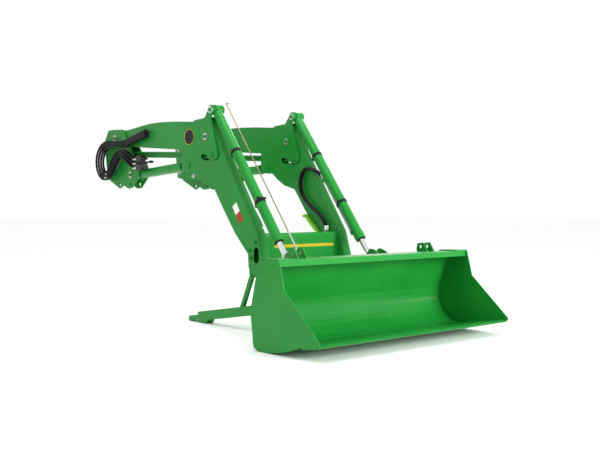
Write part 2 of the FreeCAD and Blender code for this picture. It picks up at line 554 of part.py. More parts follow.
def make_bucket():
    start = "-bucket_half + side_plate"
    wide = "2 * (bucket_half - side_plate)"
    floor_out, back_out = shell_points("0")
    floor_in, back_in = shell_points("shell_plate")
    front = "(edge_y + 40)"
    floor = plate("bucket_floor", [(front, under(front)), floor_out, floor_in,
                                   (front, under(front) + " + shell_plate")], start, wide)
    back_top = ("(lip_back_y + 32)", "(lip_top - 55)")
    back = plate("bucket_back", [back_out, (back_top[0] + " + shell_plate", back_top[1]),
                                 ("lip_back_y + shell_plate", "lip_top"), ("lip_back_y", "lip_top - 4"),
                                 back_top, back_in], start, wide)
    lip = plate("bucket_lip", [("lip_back_y + shell_plate", "lip_top"), ("lip_front_y", "lip_top"),
                               ("lip_front_y", "lip_top - lip_drop"),
                               ("lip_front_y + shell_plate", "lip_top - lip_drop"),
                               ("lip_front_y + shell_plate", "lip_top - shell_plate"),
                               ("lip_back_y", "lip_top - shell_plate")], start, wide)
    bend = doc.addObject("Part::Cylinder", "bucket_bend_outer")
    bind(bend, "Radius", "bend_radius")
    bind(bend, "Height", wide)
    bind(bend, "Angle", "90 + floor_tilt + back_lean")
    spin = FreeCAD.Rotation(FreeCAD.Vector(1, 0, 0), -90 - size("floor_tilt"))
    bend.Placement = FreeCAD.Placement(FreeCAD.Vector(), spin.multiply(CYCLIC))
    place(bend, start, "bend_y", "bend_z")
    core = rod("bucket_bend_inner", f"{start} - 1", "bend_y", "bend_z", "bend_radius - shell_plate", f"{wide} + 2")
    rolled = cut("bucket_bend", bend, [core])
    side_front = "(edge_y + 12)"
    edge_back = "(edge_y + edge_long)"
    side_outline = [(side_front, under(side_front)), (edge_back, under(edge_back)), ("-248", "29"), ("-heel_half", "heel_thick"),
                    ("heel_half", "heel_thick"), ("105", "22"), ("142", "253"), ("136", "345"), ("82", "548"),
                    ("lip_back_y + shell_plate", "lip_top + 5"), ("lip_front_y - 10", "lip_top + 5"),
                    ("lip_front_y - 70", "lip_top - 215"), (side_front, under(side_front) + " + 22")]
    sides = [plate("bucket_side_right", side_outline, "-bucket_half", "side_plate"),
             plate("bucket_side_left", side_outline, "bucket_half - side_plate", "side_plate")]
    caps = []
    for side, x in (("right", "-bucket_half"), ("left", "bucket_half - 150")):
        caps.append(plate(f"bucket_cap_{side}", [("lip_front_y - 4", "lip_top - 1"), ("lip_front_y - 4", "lip_top + 9"),
                                                 ("lip_back_y + 8", "lip_top + 9"), ("lip_back_y + 8", "lip_top - 1")],
                          x, "150"))
    ears = []
    for side, sign in (("right", "-"), ("left", "")):
        for number, station in enumerate(("ear_inner", "ear_inner + ear_gap")):
            x = f"-({station}) - ear_plate" if sign else station
            ears.append(plate(f"bucket_ear_{side}_{number}",
                              [("lip_back_y - 60", "lip_top"), ("lip_back_y + 8", "lip_top"),
                               ("lip_back_y + 40", "lip_top - 45"), ("lip_back_y + 66", "lip_top + 20"),
                               ("lip_back_y + 52", "lip_top + 70"), ("lip_back_y - 10", "lip_top + 78")],
                              x, "ear_plate", [("lip_back_y + 20", "lip_top + 42", "ear_hole")]))
    ribs = []
    rib = [("130", "225"), ("carrier_back - 10", "215"), ("carrier_back", "250"), ("carrier_back", "560"),
           ("carrier_back - 90", "680"), ("lip_back_y + 12", "lip_top - 12"), ("lip_back_y + 36", "lip_top - 55"),
           ("78", "548"), ("130", "350"), ("139", "300")]
    for side, sign in (("right", "-1"), ("left", "1")):
        for number, station in enumerate((f"({STRAP_IN} - 34)", f"({STRAP_END} + 22)")):
            ribs.append(plate(f"bucket_rib_{side}_{number}", rib, f"{sign} * {station} - strap_plate / 2",
                              "strap_plate"))
    heel = plate("bucket_heel", [("-heel_half - 230", under("-heel_half - 230")),
                                 ("-248", "29"), ("-heel_half", "0"), ("heel_half", "0"), ("112", "40"),
                                 ("136", "240"), ("124", "240"), ("100", "46"), ("heel_half - 6", "heel_thick"),
                                 ("-heel_half + 2", "heel_thick"), ("-246", "41"),
                                 ("-heel_half - 226", under("-heel_half - 226") + " + 2")], "-bucket_half", "2 * bucket_half")
    return fuse("bucket", [floor, rolled, back, lip, heel] + sides + caps + ears + ribs)


# Cutting edge under the front of the floor

def make_edge():
    back = "(edge_y + edge_long)"
    outline = [("edge_y", under("edge_y") + " - 7"), ("edge_y + 38", under("(edge_y + 38)")),
               (back, under(back)), (back, under(back) + " - edge_thick"),
               ("edge_y + 30", under("(edge_y + 30)") + " - edge_thick")]
    return plate("cutting_edge", outline, "-bucket_half", "2 * bucket_half")


# Carrier: the frame with the pivot ears, held in the bucket's ribs

def make_carrier():
    rail_y = "carrier_back"
    rails = []
    for level, z in (("top", "carrier_top"), ("low", "carrier_low")):
        tube = block(f"carrier_{level}_tube", f"-{STRAP_END} - 12", rail_y, z, f"2 * ({STRAP_END} + 12)",
                     "carrier_deep", "carrier_tube")
        hollow = block(f"carrier_{level}_hollow", f"-{STRAP_END} - 13", f"{rail_y} + carrier_wall",
                       f"{z} + carrier_wall", f"2 * ({STRAP_END} + 13)", "carrier_deep - 2 * carrier_wall",
                       "carrier_tube - 2 * carrier_wall")
        rails.append(cut(f"carrier_{level}_rail", tube, [hollow]))
    half = []
    post_start = f"({STRAP_IN} - 24)"
    post_wide = f"({STRAP_END} - {STRAP_IN} + 36)"
    half.append(block("carrier_post", f"-{post_start} - {post_wide}", f"{rail_y} - carrier_post", "245",
                      post_wide, "carrier_post", "400"))
    outline = [("carrier_back - 5", "235"), ("carrier_back - 5", "640"), ("300", "705"), ("335", "716"), ("372", "712"),
               ("398", "680"), ("404", "630")] + along([(45, 10)], TILT_Y, TILT_Z) + along([(49, 8), (30, -40), (0, -50)],
                                                                         "bucket_pin_y", "bucket_pin_z")
    clear = "pin_radius + pin_clearance"
    spacer_long = f"({STRAP_OUT} - arm_x - {EYE_HALF} - eye_gap)"
    for side, start, head, spacer in (
            ("outer", f"-{STRAP_END}", f"-{STRAP_END} - head_thick", f"-{STRAP_OUT}"),
            ("inner", f"-{STRAP_IN} - strap_plate", f"-{STRAP_IN}", f"-arm_x + {EYE_HALF} + eye_gap")):
        half.append(plate(f"carrier_ear_{side}", outline, start, "strap_plate",
                          [("bucket_pin_y", "bucket_pin_z", clear)]))
        half.append(rod(f"carrier_tilt_head_{side}", head, TILT_Y, TILT_Z, "head_radius", "head_thick"))
        half.append(rod(f"carrier_tilt_stub_{side}", spacer, TILT_Y, TILT_Z, "head_radius", spacer_long))
    right = fuse("carrier_side_right", half)
    left = mirrored("carrier_side_left", right)
    return fuse("carrier", rails + [right, left])


# Level indicator on the right tilt cylinder

def make_level_indicator():
    thin = barrel("level_thin", "-18", "level_radius", "level_clamp + 100")
    place(thin, "level_across", "-18", "-level_off")
    thin_hook = rod("level_hook", "level_across", "-18", "-level_off", "level_radius", "26")
    level_rod = turn_to(fuse("level_rod", [thin, thin_hook]), "-arm_x", TOWER_Y, TOWER_Z, TILT_Y, TILT_Z)
    sleeve = place(barrel("level_sleeve", "0", "level_tube_radius", "290"), "level_across", "1434", "-level_off")
    arm = block("level_arm", "0", "level_clamp", "-level_off - 7", "level_across", "16", "14")
    foot = block("level_foot", "-7", "level_clamp", "-level_off - 7", "14", "16", "level_off - 10")
    clamp = barrel("level_ring", "level_clamp", "tilt_rod_radius + 9", "16")
    bore = place(barrel("level_bore", "0", "level_radius", "400"), "level_across", "1400", "-level_off")
    hole = barrel("level_clamp_bore", "level_clamp - 5", "tilt_rod_radius", "26")
    whole = fuse("level_whole", [sleeve, arm, foot, clamp])
    level_tube = turn_to(cut("level_tube", whole, [bore, hole]), "-arm_x", TOWER_Y, TOWER_Z, TILT_Y, TILT_Z)
    return level_rod, level_tube


def make_level_guide(base):
    arm = block("guide_arm", "0", "1076", "-level_off - 6", "level_across", "18", "12")
    foot = block("guide_foot", "-8", "1076", "-level_off - 6", "16", "18", "level_off - tilt_radius + 10")
    ring = place(barrel("guide_ring", "0", "12", "18"), "level_across", "1076", "-level_off")
    hole = place(barrel("guide_hole", "0", "level_radius + 0.5", "60"), "level_across", "1050", "-level_off")
    guide = turn_to(cut("level_guide", fuse("guide_whole", [arm, foot, ring]), [hole]),
                    "-arm_x", TOWER_Y, TOWER_Z, TILT_Y, TILT_Z)
    return fuse("tilt_barrel_right", [base, guide])


def make_tilt_line():
    line = barrel("tilt_line_tube", "0", "line_radius", "tilt_gland - 110 - port_at - 40")
    place(line, "line_across", "port_at + 40", "line_off")
    nuts = []
    for side, at in (("high", "port_at + 40"), ("low", "tilt_gland - 128")):
        nut = barrel(f"tilt_line_nut_{side}", "0", "line_radius + 4", "18")
        nuts.append(place(nut, "line_across", at, "line_off"))
    return turn_to(fuse("tilt_line_right", [line] + nuts), "-arm_x", TOWER_Y, TOWER_Z, TILT_Y, TILT_Z)


# Hydraulic coupler block on the right mast, with its lever

def make_coupler():
    x = f"-{STRAP_END} - coupler_wide"
    body = block("coupler_body", x, "coupler_y", "coupler_z", "coupler_wide", "coupler_long", "coupler_high")
    bracket = block("coupler_bracket", f"-{STRAP_END} - 8", "coupler_y + 12", "coupler_z + 20", "8", "250", "100")
    sockets = []
    for column in range(2):
        for row in range(3):
            across = f"{x} + 12 + {column} * 24"
            height = f"coupler_z + 28 + {row} * 44"
            socket = barrel(f"coupler_socket_{column}_{row}", "0", "hose_radius - 1", "62")
            place(socket, across, "coupler_y - 62", height)
            collar = barrel(f"coupler_collar_{column}_{row}", "0", "hose_radius + 0.5", "16")
            place(collar, across, "coupler_y - 34", height)
            sockets += [socket, collar]
    hub = rod("coupler_hub", f"{x} - 14", "coupler_y + 50", "coupler_z + 75", "14", "16")
    return fuse("coupler_block", [body, bracket, hub] + sockets)


def make_lever():
    """Long handle that closes the coupler; it lies forward and lifts about the hub."""
    x = f"-{STRAP_END} - coupler_wide - 14 - head_gap - 10"
    grip = block("lever_bar", x, "coupler_y + 50 - lever_long", "coupler_z + 67", "10", "lever_long", "16")
    hub = rod("lever_hub", x, "coupler_y + 50", "coupler_z + 75", "17", "10")
    knob = rod("lever_knob", f"{x} - 26", "coupler_y + 50 - lever_long", "coupler_z + 75", "13", "36")
    return fuse("coupler_lever", [grip, hub, knob])


# Hoses: straight runs joined by tangent arcs, swept with a round section

def hose_wire(points):
    points = [FreeCAD.Vector(*p) for p in points]
    edges = []
    last = points[0]
    for before, corner, after in zip(points, points[1:], points[2:]):
        back = (before - corner).normalize()
        ahead = (after - corner).normalize()
        turn = math.pi - back.getAngle(ahead)
        if turn < 0.02:
            continue
        cut_back = 0.45 * min((before - corner).Length, (after - corner).Length)
        radius = cut_back / math.tan(turn / 2)
        start = corner + back * cut_back
        end = corner + ahead * cut_back
        centre_way = (back + ahead).normalize()
        middle = corner + centre_way * (math.hypot(radius, cut_back) - radius)
        edges.append(Part.LineSegment(last, start).toShape())
        edges.append(Part.Arc(start, middle, end).toShape())
        last = end
    edges.append(Part.LineSegment(last, points[-1]).toShape())
    return Part.Wire(edges)


def hose(name, points, radius):
    path = hose_wire(points)
    start = FreeCAD.Vector(*points[0])
    way = FreeCAD.Vector(*points[1]) - start
    section = Part.Wire([Part.makeCircle(radius, start, way)])
    tube = path.makePipeShell([section], True, False)
    shape = Part.Solid(tube.Shells[0]) if tube.ShapeType != "Solid" else tube
    if shape.Volume < 0:
        shape.reverse()
    expected = math.pi * radius ** 2 * path.Length
    if abs(shape.Volume - expected) > 0.02 * expected:
        raise ValueError(f"{name} has a wrong volume")
    feature = doc.addObject("Part::Feature", name)
    feature.Shape = shape
    return feature


def sleeve_frame():
    """Start and end of the sleeve's middle line, its way and its upward direction."""
    out = size("arm_x") + size("arm_wide") / 2
    start = FreeCAD.Vector(-out - 34, 2575, 1832)
    end = FreeCAD.Vector(-out - 50, 2932, 1756)
    way = (end - start).normalize()
    up = FreeCAD.Vector(1, 0, 0).cross(way).normalize()
    return start, end, way, up


def mast_hose(number):
    """One loop of the bundle: out of the sleeve, round behind the mast pin and over a hump to the coupler block."""
    column, row = number % 2, number // 2
    _, end, way, up = sleeve_frame()
    first = end + way.cross(up) * (12 - 24 * column) + up * (24 * row - 24)
    second = first + way * 110
    outside = size("arm_x") + size("arm_wide") / 2 + size("side_gap") + size("strap_plate")
    last_x = -(outside + size("coupler_wide") - 36 + 24 * column)
    last_y = size("coupler_y") + size("coupler_long") + size("head_gap")
    last_z = size("coupler_z") + 28 + 44 * (2 - row)
    x = -(590 + 27 * column)
    loop = [(x, 3200, 1742 + 26 * row), (x, 3360 + 30 * row, 1715 + 33 * row), (x, 3440 + 55 * row, 1615 + 20 * row),
            (x, 3440 + 55 * row, 1520 - 12 * row), (x, 3372 + 30 * row, 1440 - 34 * row),
            (x, 3292 - 8 * row, 1455 - 36 * row), (x, 3235 - 30 * row, 1540 - 22 * row),
            (x, 3150 - 32 * row, 1645 - 24 * row), (x, 3010 - 6 * row, 1698 - 30 * row),
            (x, 2890 + 12 * row, 1650 - 38 * row)]
    return [tuple(first), tuple(second)] + loop + [(last_x, 2800 + 10 * row, last_z), (last_x, last_y, last_z)]


def make_sleeve():
    """Black guard that carries the bundle out of the arm's side."""
    start, end, _, up = sleeve_frame()
    line = Part.LineSegment(start, end).toShape()
    way = end - start
    across = way.cross(up).normalize()
    ring = []
    half_wide, half_high = 27, 40
    for x, z in ((-1, -1), (1, -1), (1, 1), (-1, 1)):
        ring.append(start + across * (x * half_wide) + up * (z * half_high))
    face = Part.Face(Part.makePolygon(ring + ring[:1]))
    solid = face.extrude(way)
    solid = solid.makeFillet(22, [e for e in solid.Edges if abs(e.Length - line.Length) < 1])
    feature = doc.addObject("Part::Feature", "hose_sleeve")
    feature.Shape = solid
    return feature


def tilt_port(local_s, local_x, local_z):
    """Point on the left tilt barrel, given along it, across it and off its axis."""
    tower = FreeCAD.Vector(0, size("crank_pin_y") + size("crank_reach_y"), size("crank_pin_z") + size("crank_reach_z"))
    rod_pin = FreeCAD.Vector(0, size("bucket_pin_y") + size("crank_reach_y"),
                             size("bucket_pin_z") + size("crank_reach_z"))
    way = (rod_pin - tower).normalize()
    off = FreeCAD.Vector(1, 0, 0).cross(way)
    point = tower + way * local_s + off * local_z
    return FreeCAD.Vector(size("arm_x") - local_x, point.y, point.z), way


def left_hose(number):
    end, way = tilt_port(size("port_at"), 24 * number - 12, size("tilt_radius") + 14)
    before = end - way * (60 - 8 * number)
    inner = size("arm_x") - size("arm_wide") / 2
    x = inner - 17 - 26 * number
    top = size("tube_bottom") + size("tube_high")
    return [(x, 925, top), (x, 925, top + 60), (x, 985, top + 140), (x - 4, 1120, 1075),
            (x - 6, 1262, 1180), (x - 4, 1312, 1300), (x, 1280, 1420), (x, 1196, 1500 - 12 * number),
            tuple(before), tuple(end)]


def feed_hose(number):
    """Hoses clipped along the front of the right arm's inner side, down to the torque tube."""
    inner = size("arm_x") - size("arm_wide") / 2
    x = -inner + 13 + 24 * number
    top = size("tube_bottom") + size("tube_high")
    return [(x, 1430, 1440), (x, 1340, 1440), (x, 1235, 1370), (x, 1080, 1170), (x, 930, 990),
            (x, 868, 920), (x, 868, top)]


# Small pieces on the boom

def make_badge():
    """Plain oval plate on the outer side of the arm."""
    x = size("arm_x") + size("arm_wide") / 2
    centre = FreeCAD.Vector(-x, size("badge_y"), size("badge_z"))
    oval = Part.Ellipse(centre, size("badge_long"), size("badge_high"))
    edge = oval.toShape()
    edge.rotate(centre, FreeCAD.Vector(0, 0, 1), 90)
    edge.rotate(centre, FreeCAD.Vector(0, 1, 0), 90)
    solid = Part.Face(Part.Wire([edge])).extrude(FreeCAD.Vector(-2, 0, 0))
    feature = doc.addObject("Part::Feature", "badge_right")
    feature.Shape = solid
    return feature


def make_bracket():
    """Light green guard bracket on the inner side of the left arm."""
    inner = f"({ARM_IN})"
    web = plate("bracket_web", [("1057", "857"), ("1080", "852"), ("1230", "985"), ("1262", "1010"),
                                ("1240", "1016"), ("1200", "985")], f"{inner} - 40", "40")
    knob = rod("bracket_knob", f"{inner} - 52", "1238", "1000", "13", "14")
    return fuse("hose_bracket", [web, knob])


def make_feed_block():
    """Manifold on the inner side of the right arm that the feed hoses start from."""
    body = block("feed_body", f"-{ARM_IN}", "1430", "1415", "50", "58", "50")
    return fuse("feed_block", [body, rod("feed_plug", f"-{ARM_IN} + 48", "1462", "1440", "12", "12")])


make_boom()
make_torque_tube()
make_mast()
make_link()
make_bellcrank()
base = make_tilt_barrel()
make_tilt_rod()
make_lift_barrel()
make_lift_rod()
make_stand()
make_brace()
make_bucket()
make_edge()
make_carrier()
make_level_indicator()
right_barrel = make_level_guide(base)
make_tilt_line()
make_coupler()
make_lever()
make_sleeve()
make_badge()
make_bracket()
make_feed_block()
pin("crank_pin_right", "crank_pin_y", "crank_pin_z")
pin("tower_pin_right", TOWER_Y, TOWER_Z)
pin("mast_pin_right", "mast_pin_y", "mast_pin_z")
pin("link_pin_right", MAST_LINK_Y, MAST_LINK_Z)
pin("barrel_pin_right", "barrel_pin_y", "barrel_pin_z")
pin("bucket_pin_right", "bucket_pin_y", "bucket_pin_z")
for number in range(6):
    hose(f"mast_hose_{number}", mast_hose(number), size("hose_radius"))
for number in range(2):
    hose(f"tilt_hose_{number}", left_hose(number), size("hose_radius"))
    hose(f"feed_hose_{number}", feed_hose(number), size("hose_radius"))

PAIRS = ("boom", "mast", "link", "bellcrank", "tilt_rod", "lift_barrel", "lift_rod", "stand", "brace",
         "crank_pin", "tower_pin", "mast_pin", "link_pin", "barrel_pin", "bucket_pin", "badge", "tilt_line")
for name in PAIRS:
    mirrored(name + "_left", doc.getObject(name + "_right"))
mirrored("tilt_barrel_left", base)

NODES = [doc.getObject(f"{name}_{side}") for name in PAIRS + ("tilt_barrel",) for side in ("right", "left")]
NODES += [doc.getObject(name) for name in (
    "torque_tube", "bucket", "cutting_edge", "carrier", "level_rod", "level_tube", "coupler_block", "coupler_lever",
    "hose_sleeve", "hose_bracket", "feed_block")]
NODES += [doc.getObject(f"mast_hose_{number}") for number in range(6)]
NODES += [doc.getObject(f"{kind}_hose_{number}") for kind in ("tilt", "feed") for number in range(2)]

doc.recompute()
for thing in doc.Objects:
    if "Invalid" in thing.State or "Error" in thing.State:
        raise ValueError(f"{thing.Name} failed: {thing.State}")
for node in NODES:
    if node.Shape.isNull() or not node.Shape.isValid() or not node.Shape.Solids:
        raise ValueError(f"{node.Label} has no valid shape")
    node.Shape.exportStep(f"parts/{node.Label}.step")
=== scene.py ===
"""Looks of the front loader: materials, smooth hoses, fittings, fasteners and weld beads around the CAD frame.

Lengths are in metres in the row frame: -Y towards the cutting edge, +Y towards the tractor, +Z up.
"""
import math

import bmesh
import bpy
from mathutils import Matrix, Vector, noise


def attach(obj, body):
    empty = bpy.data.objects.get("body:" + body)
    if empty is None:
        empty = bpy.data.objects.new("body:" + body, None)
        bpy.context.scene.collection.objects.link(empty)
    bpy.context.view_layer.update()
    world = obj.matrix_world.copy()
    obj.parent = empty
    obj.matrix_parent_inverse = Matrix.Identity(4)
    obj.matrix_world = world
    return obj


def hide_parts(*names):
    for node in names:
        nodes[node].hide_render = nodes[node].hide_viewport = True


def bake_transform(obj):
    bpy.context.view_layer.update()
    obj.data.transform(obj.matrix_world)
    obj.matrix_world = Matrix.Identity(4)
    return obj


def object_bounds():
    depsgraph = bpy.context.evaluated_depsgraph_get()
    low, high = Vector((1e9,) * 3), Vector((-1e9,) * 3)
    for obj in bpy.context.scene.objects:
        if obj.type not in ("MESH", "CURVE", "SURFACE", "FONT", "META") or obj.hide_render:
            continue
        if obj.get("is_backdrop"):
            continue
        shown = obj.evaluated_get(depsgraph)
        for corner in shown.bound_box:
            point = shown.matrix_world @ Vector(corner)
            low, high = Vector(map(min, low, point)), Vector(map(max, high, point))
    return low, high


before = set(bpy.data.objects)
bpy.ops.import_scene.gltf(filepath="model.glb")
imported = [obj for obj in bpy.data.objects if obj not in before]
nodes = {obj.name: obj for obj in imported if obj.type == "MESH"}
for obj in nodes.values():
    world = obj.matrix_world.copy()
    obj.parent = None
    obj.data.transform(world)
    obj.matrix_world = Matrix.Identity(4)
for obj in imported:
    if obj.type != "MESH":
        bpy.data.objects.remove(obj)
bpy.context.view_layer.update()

# Camera, floor and light

PHOTO_CAMERA = (-5.014, -5.064, 1.103)
camera_data = bpy.data.cameras.new("camera")
camera = bpy.data.objects.new("camera", camera_data)
bpy.context.scene.collection.objects.link(camera)
camera.location = PHOTO_CAMERA
camera.rotation_euler = (math.radians(88.68), math.radians(0.03), math.radians(-40.38))
camera_data.sensor_width = 36
camera_data.lens = 51.5
camera_data.clip_end = 200
bpy.context.scene.camera = camera
bpy.context.scene.view_settings.view_transform = "Standard"


def link(thing):
    bpy.context.scene.collection.objects.link(thing)
    return thing


def area_light(name, place, target, size, power):
    data = bpy.data.lights.new(name, "AREA")
    data.shape = "DISK"
    data.size = size
    data.energy = power
    light = link(bpy.data.objects.new(name, data))
    light.location = place
    light.rotation_euler = (Vector(target) - Vector(place)).to_track_quat("-Z", "Y").to_euler()
    return light


world = bpy.data.worlds.new("studio")
world.use_nodes = True
world.node_tree.nodes["Background"].inputs["Color"].default_value = (1, 1, 1, 1)
world.node_tree.nodes["Background"].inputs["Strength"].default_value = 1.0
bpy.context.scene.world = world
area_light("key", (1.6, -7.2, 2.5), (0, 0.2, 0.3), 3.0, 640)
area_light("top", (-1.0, 0.5, 6.5), (0, 1.0, 0.6), 2.5, 130)
area_light("rim", (5.0, 4.5, 5.0), (0, 1.5, 0.8), 3.0, 150)

# Materials


def shader(name, colour, metallic=0.0, roughness=0.4, coat=0.0, specular=0.5):
    material = bpy.data.materials.new(name)
    material.use_nodes = True
    body = material.node_tree.nodes["Principled BSDF"]
    body.inputs["Base Color"].default_value = (*colour, 1)
    body.inputs["Metallic"].default_value = metallic
    body.inputs["Roughness"].default_value = roughness
    body.inputs["Coat Weight"].default_value = coat
    body.inputs["Coat Roughness"].default_value = 0.06
    body.inputs["Specular IOR Level"].default_value = specular
    material.diffuse_color = (*colour, 1)
    return material, material.node_tree, body


def noise_node(tree, scale, detail=4.0, rough=0.5, stretch=(1, 1, 1)):
    place = tree.nodes.new("ShaderNodeTexCoord")
    mapping = tree.nodes.new("ShaderNodeMapping")
    mapping.inputs["Scale"].default_value = stretch
    texture = tree.nodes.new("ShaderNodeTexNoise")
    texture.inputs["Scale"].default_value = scale
    texture.inputs["Detail"].default_value = detail
    texture.inputs["Roughness"].default_value = rough
    tree.links.new(place.outputs["Object"], mapping.inputs["Vector"])
    tree.links.new(mapping.outputs["Vector"], texture.inputs["Vector"])
    return texture


def ramp(tree, source, stops):
    colours = tree.nodes.new("ShaderNodeValToRGB")
    band = colours.color_ramp
    band.elements[0].position, band.elements[0].color = stops[0][0], (*stops[0][1], 1)
    band.elements[1].position, band.elements[1].color = stops[-1][0], (*stops[-1][1], 1)
    for at, colour in stops[1:-1]:
        band.elements.new(at).color = (*colour, 1)
    tree.links.new(source.outputs["Fac"], colours.inputs["Fac"])
    return colours


def rough_range(tree, source, body, low, high):
    spread = tree.nodes.new("ShaderNodeMapRange")
    spread.inputs["To Min"].default_value = low
    spread.inputs["To Max"].default_value = high
    spread.inputs["From Min"].default_value = 0.3
    spread.inputs["From Max"].default_value = 0.7
    tree.links.new(source.outputs["Fac"], spread.inputs["Value"])
    tree.links.new(spread.outputs["Result"], body.inputs["Roughness"])


def bump(tree, source, body, strength, distance):
    relief = tree.nodes.new("ShaderNodeBump")
    relief.inputs["Strength"].default_value = strength
    relief.inputs["Distance"].default_value = distance
    tree.links.new(source.outputs["Fac"], relief.inputs["Height"])
    tree.links.new(relief.outputs["Normal"], body.inputs["Normal"])


def paint(name, deep, plain, bright):
    """Gloss enamel: slow change of shade, a few duller patches and fine orange peel."""
    material, tree, body = shader(name, plain, roughness=0.34, coat=0.08, specular=0.18)
    clouds = noise_node(tree, 2.2, 5.0)
    shade = ramp(tree, clouds, [(0.3, deep), (0.5, plain), (0.72, bright)])
    tree.links.new(shade.outputs["Color"], body.inputs["Base Color"])
    patches = noise_node(tree, 9.0, 6.0, 0.6)
    rough_range(tree, patches, body, 0.28, 0.42)
    peel = noise_node(tree, 320.0, 2.0)
    bump(tree, peel, body, 0.05, 0.0003)
    return material


def metal(name, colour, low, high, stretch=(1, 1, 1), scale=60.0, relief=0.08):
    material, tree, body = shader(name, colour, metallic=1.0, roughness=low)
    grain = noise_node(tree, scale, 5.0, 0.6, stretch)
    rough_range(tree, grain, body, low, high)
    darker = tuple(c * 0.82 for c in colour)
    shade = ramp(tree, grain, [(0.35, darker), (0.65, colour)])
    tree.links.new(shade.outputs["Color"], body.inputs["Base Color"])
    bump(tree, grain, body, relief, 0.0005)
    return material


def dull(name, colour, low, high, scale, relief, distance):
    """Rubber and moulded plastic: fine grain, uneven sheen."""
    material, tree, body = shader(name, colour, roughness=low, specular=0.14)
    grain = noise_node(tree, scale, 4.0)
    rough_range(tree, grain, body, low, high)
    paler = tuple(c * 1.5 + 0.004 for c in colour)
    shade = ramp(tree, grain, [(0.35, colour), (0.7, paler)])
    tree.links.new(shade.outputs["Color"], body.inputs["Base Color"])
    bump(tree, grain, body, relief, distance)
    return material


green = paint("green_enamel", (0.007, 0.196, 0.022), (0.009, 0.216, 0.025), (0.012, 0.234, 0.029))
lime = paint("lime_enamel", (0.20, 0.52, 0.03), (0.24, 0.60, 0.04), (0.29, 0.66, 0.06))
yellow = paint("yellow_enamel", (0.44, 0.34, 0.01), (0.50, 0.39, 0.015), (0.55, 0.43, 0.03))
chrome = metal("hard_chrome", (0.80, 0.81, 0.82), 0.07, 0.16, (1, 12, 12), 40.0, 0.03)
zinc = metal("zinc_plate", (0.60, 0.60, 0.57), 0.26, 0.42, (1, 1, 1), 90.0, 0.10)
phosphate = metal("black_phosphate", (0.06, 0.06, 0.062), 0.30, 0.46, (1, 1, 1), 110.0, 0.10)
tan_rod = metal("yellow_zinc", (0.36, 0.25, 0.16), 0.26, 0.40, (1, 1, 1), 90.0, 0.08)
rubber = dull("hose_rubber", (0.005, 0.005, 0.006), 0.30, 0.46, 260.0, 0.35, 0.0006)
plastic = dull("black_plastic", (0.007, 0.007, 0.008), 0.42, 0.60, 420.0, 0.25, 0.0005)
badge_face = dull("badge_face", (0.005, 0.006, 0.005), 0.24, 0.36, 180.0, 0.12, 0.0004)
white_film = dull("white_film", (0.70, 0.70, 0.68), 0.34, 0.46, 80.0, 0.05, 0.0003)
red_film = dull("red_film", (0.30, 0.035, 0.02), 0.34, 0.46, 80.0, 0.05, 0.0003)

FINISH = {
    "green_paint": green, "light_green": lime, "chrome_rod": chrome, "zinc_steel": zinc,
    "hose_rubber": rubber, "black_plastic": plastic, "badge_black": badge_face,
}


def cad_finish(name):
    if "_rod_" in name:
        return "chrome_rod"
    if "_pin_" in name or name.startswith(("coupler_block", "feed_block", "level", "tilt_line")):
        return "zinc_steel"
    if "hose_sleeve" in name:
        return "black_plastic"
    if name == "hose_bracket":
        return "light_green"
    if name.startswith("badge"):
        return "badge_black"
    if "_hose_" in name:
        return "hose_rubber"
    if name == "coupler_lever":
        return "black_plastic"
    return "green_paint"


def soften(thing, width, angle=38):
    """Small rounded edges on a CAD node, without touching its own mesh."""
    weld = thing.modifiers.new("weld", "WELD")
    weld.merge_threshold = 0.00002
    bevel = thing.modifiers.new("edge", "BEVEL")
    bevel.width = width
    bevel.segments = 2
    bevel.limit_method = "ANGLE"
    bevel.angle_limit = math.radians(angle)
    bevel.use_clamp_overlap = True
    bevel.harden_normals = True


ROUNDED = ("boom_", "mast_right", "mast_left", "bellcrank", "carrier", "torque_tube", "stand", "brace", "link_right",
           "link_left", "bucket", "cutting_edge", "coupler_block")
for name, thing in nodes.items():
    finish = FINISH[cad_finish(name)]
    if name == "level_rod":
        finish = tan_rod
    if name in ("coupler_block", "feed_block"):
        finish = phosphate
    thing.data.materials.clear()
    thing.data.materials.append(finish)
    if name.startswith(ROUNDED) and "pin" not in name:
        soften(thing, 0.0016)

# Pieces


def piece(name, mesh, material, body, flat=False):
    thing = link(bpy.data.objects.new(name, mesh))
    mesh.materials.append(material)
    if not flat:
        for face in mesh.polygons:
            face.use_smooth = True
    if body:
        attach(thing, body)
    return thing


def from_bmesh(name, made):
    mesh = bpy.data.meshes.new(name)
    made.to_mesh(mesh)
    made.free()
    return mesh


def smooth_by_angle(thing, degrees=35):
    thing.data.set_sharp_from_angle(angle=math.radians(degrees))
    return thing


def looking(axis):
    return Vector(axis).to_track_quat("Z", "Y").to_matrix().to_4x4()


def turned(made, profile, centre, axis, sides=24, spin=0.0):
    """Adds a turned form: profile is [(radius, height)...] along axis from centre."""
    matrix = Matrix.Translation(Vector(centre)) @ looking(axis)
    rings = []
    for radius, height in profile:
        turns = [spin + 2 * math.pi * k / sides for k in range(sides)]
        rings.append([matrix @ Vector((radius * math.cos(turn), radius * math.sin(turn), height))
                      for turn in turns])
    add_rings(made, rings)


def add_bolt(made, centre, axis, flats=0.024, spin=0.2):
    """Washer, chamfered hexagon head and the dished top of a bolt."""
    corner = flats / 2 / math.cos(math.pi / 6)
    turned(made, [(flats * 0.86, 0), (flats * 0.86, 0.0022), (flats * 0.80, 0.0032)], centre, axis, 24)
    turned(made, [(corner, 0.003), (corner, 0.003 + flats * 0.52), (corner * 0.84, 0.003 + flats * 0.62)],
           centre, axis, 6, spin)


def bolts(name, body, places, flats=0.024, material=None):
    made = bmesh.new()
    for number, (centre, axis) in enumerate(places):
        add_bolt(made, centre, axis, flats, 0.35 * number)
    return piece(name, from_bmesh(name, made), material or zinc, body, flat=True)


